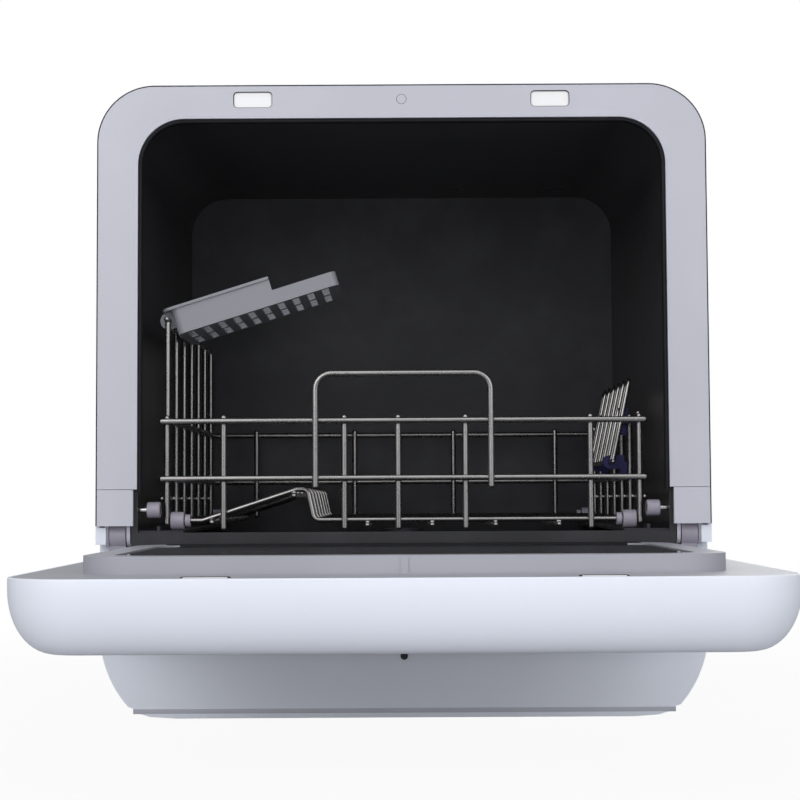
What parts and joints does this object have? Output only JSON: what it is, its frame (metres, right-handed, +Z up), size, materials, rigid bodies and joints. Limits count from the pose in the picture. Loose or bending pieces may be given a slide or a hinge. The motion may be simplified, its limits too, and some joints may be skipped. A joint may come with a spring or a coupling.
{
  "type": "countertop dishwasher",
  "caption": "Compact countertop dishwasher with a drop-down windowed door, wire basket on wheels, folding cutlery shelf, folding tine rack, spray arm, pumps and water tank.",
  "frame": {"origin": "on the surface that the feet stand on, under the middle of the whole part with its door open", "axes": "+X to the right, +Y from the door into the cabinet, +Z up"},
  "size_m": [0.42, 0.689, 0.438],
  "materials": {
    "painted_white": "satin white powder coat",
    "grey_plastic": "fine satin moulding",
    "base_plastic": "fine satin moulding",
    "white_plastic": "glossy",
    "dark_plastic": "matt, near black",
    "tub_lining": "near black, slightly glossy",
    "seal": "soft black rubber",
    "foot_rubber": "matt black rubber",
    "galvanised": "plain zinc plated sheet",
    "steel": "bright drawn steel",
    "basket_wire": "satin wire",
    "wheel_plastic": "satin grey-purple",
    "navy_plastic": "satin navy",
    "shelf_plastic": "satin grey",
    "smoked_glass": "dark tinted, glossy",
    "circuit_board": "green laminate",
    "pump_plastic": "moulded housing",
    "tank_plastic": "milky"
  },
  "bodies": {
    "cabinet": {"outer_shell": "painted_white", "rear_panel": "galvanised", "rear_screws": "steel", "base_plinth": "base_plastic", "base_pan": "galvanised", "feet": "foot_rubber", "status_lens": "dark_plastic", "front_frame": "grey_plastic", "catch_magnets": "white_plastic", "door_switch": "dark_plastic", "hinge_blocks": "grey_plastic", "hinge_pins": "steel", "tub": "tub_lining", "tub_gasket": "seal", "basket_rails": "dark_plastic", "roller_axles": "steel", "sump": "pump_plastic", "filter_plate": "steel", "spray_hub": "dark_plastic", "heater": "steel", "wash_pump": "pump_plastic", "drain_pump": "pump_plastic", "wash_pipe": "pump_plastic", "main_board": "circuit_board", "water_tank": "tank_plastic", "fill_neck": "base_plastic", "inlet_valve": "white_plastic", "drain_spigot": "pump_plastic", "cable_gland": "dark_plastic"},
    "door": {"door_outer_shell": "painted_white", "door_inner_panel": "grey_plastic", "window_inner_pane": "smoked_glass", "window_outer_pane": "smoked_glass", "control_panel": "dark_plastic", "display_board": "circuit_board", "catch_strikers": "white_plastic", "hinge_arms": "wheel_plastic"},
    "switch_plunger": {"door_switch_plunger": "grey_plastic"},
    "roller_left": {"guide_roller_left": "wheel_plastic"},
    "roller_right": {"guide_roller_right": "wheel_plastic"},
    "filter": {"filter_cup": "shelf_plastic"},
    "sprayer": {"spray_arm": "steel"},
    "cap": {"fill_cap": "base_plastic"},
    "basket": {"basket_front": "basket_wire", "basket_handle": "basket_wire", "basket_floor": "basket_wire", "basket_left": "basket_wire", "basket_right": "basket_wire", "basket_back": "basket_wire", "wheel_holders": "wheel_plastic", "tine_clips": "navy_plastic", "tine_locks": "navy_plastic"},
    "wheel_fl": {"wheel_front_left": "wheel_plastic"},
    "wheel_fr": {"wheel_front_right": "wheel_plastic"},
    "wheel_rl": {"wheel_rear_left": "wheel_plastic"},
    "wheel_rr": {"wheel_rear_right": "wheel_plastic"},
    "shelf": {"cutlery_shelf": "shelf_plastic"},
    "rack": {"tine_rack": "basket_wire"}
  },
  "joints": [
    {"name": "door_hinge", "type": "hinge", "parent": "cabinet", "child": "door", "pos_m": [0, -0.0348, 0.1278], "axis": [-1, 0, 0], "range_deg": [0, 90]},
    {"name": "basket_slide", "type": "slide", "parent": "cabinet", "child": "basket", "axis": [0, 1, 0], "range_m": [-0.18, 0]},
    {"name": "switch_press", "type": "slide", "parent": "cabinet", "child": "switch_plunger", "axis": [0, 1, 0], "range_m": [0, 0.004], "stiffness_N_per_m": 200, "springref_m": -0.002},
    {"name": "roller_left_spin", "type": "hinge", "parent": "cabinet", "child": "roller_left", "pos_m": [-0.171, -0.0358, 0.1453], "axis": [1, 0, 0], "range_deg": [-30, 1920]},
    {"name": "roller_right_spin", "type": "hinge", "parent": "cabinet", "child": "roller_right", "pos_m": [0.171, -0.0358, 0.1453], "axis": [1, 0, 0], "range_deg": [-30, 1920]},
    {"name": "filter_twist", "type": "hinge", "parent": "cabinet", "child": "filter", "pos_m": [-0.078, 0.128, 0.09], "axis": [0, 0, 1], "range_deg": [0, 60]},
    {"name": "spray_arm_spin", "type": "hinge", "parent": "cabinet", "child": "sprayer", "pos_m": [0, 0.128, 0.118], "axis": [0, 0, 1], "continuous": true},
    {"name": "fill_cap_turn", "type": "hinge", "parent": "cabinet", "child": "cap", "pos_m": [0.118, 0.3015, 0.436], "axis": [0, 0, 1], "range_deg": [0, 60]},
    {"name": "shelf_fold", "type": "hinge", "parent": "basket", "child": "shelf", "pos_m": [-0.1642, 0.005, 0.278], "axis": [0, -1, 0], "range_deg": [0, 72.7]},
    {"name": "rack_fold", "type": "hinge", "parent": "basket", "child": "rack", "pos_m": [0.1502, 0.08, 0.178], "axis": [0, -1, 0], "range_deg": [0, 100]},
    {"name": "wheel_fl_spin", "type": "hinge", "parent": "basket", "child": "wheel_fl", "pos_m": [-0.157, -0.0223, 0.1377], "axis": [1, 0, 0], "range_deg": [-30, 1700]},
    {"name": "wheel_fr_spin", "type": "hinge", "parent": "basket", "child": "wheel_fr", "pos_m": [0.157, -0.0223, 0.1377], "axis": [1, 0, 0], "range_deg": [-30, 1700]},
    {"name": "wheel_rl_spin", "type": "hinge", "parent": "basket", "child": "wheel_rl", "pos_m": [-0.157, 0.24825, 0.1377], "axis": [1, 0, 0], "range_deg": [-30, 1700]},
    {"name": "wheel_rr_spin", "type": "hinge", "parent": "basket", "child": "wheel_rr", "pos_m": [0.157, 0.24825, 0.1377], "axis": [1, 0, 0], "range_deg": [-30, 1700]}
  ],
  "couplings": [
    {"joint": "wheel_fl_spin", "follows": "basket_slide", "rad_per_m": -161.29},
    {"joint": "wheel_fr_spin", "follows": "basket_slide", "rad_per_m": -161.29},
    {"joint": "wheel_rl_spin", "follows": "basket_slide", "rad_per_m": -161.29},
    {"joint": "wheel_rr_spin", "follows": "basket_slide", "rad_per_m": -161.29},
    {"joint": "roller_left_spin", "follows": "basket_slide", "rad_per_m": -181.82},
    {"joint": "roller_right_spin", "follows": "basket_slide", "rad_per_m": -181.82}
  ]
}
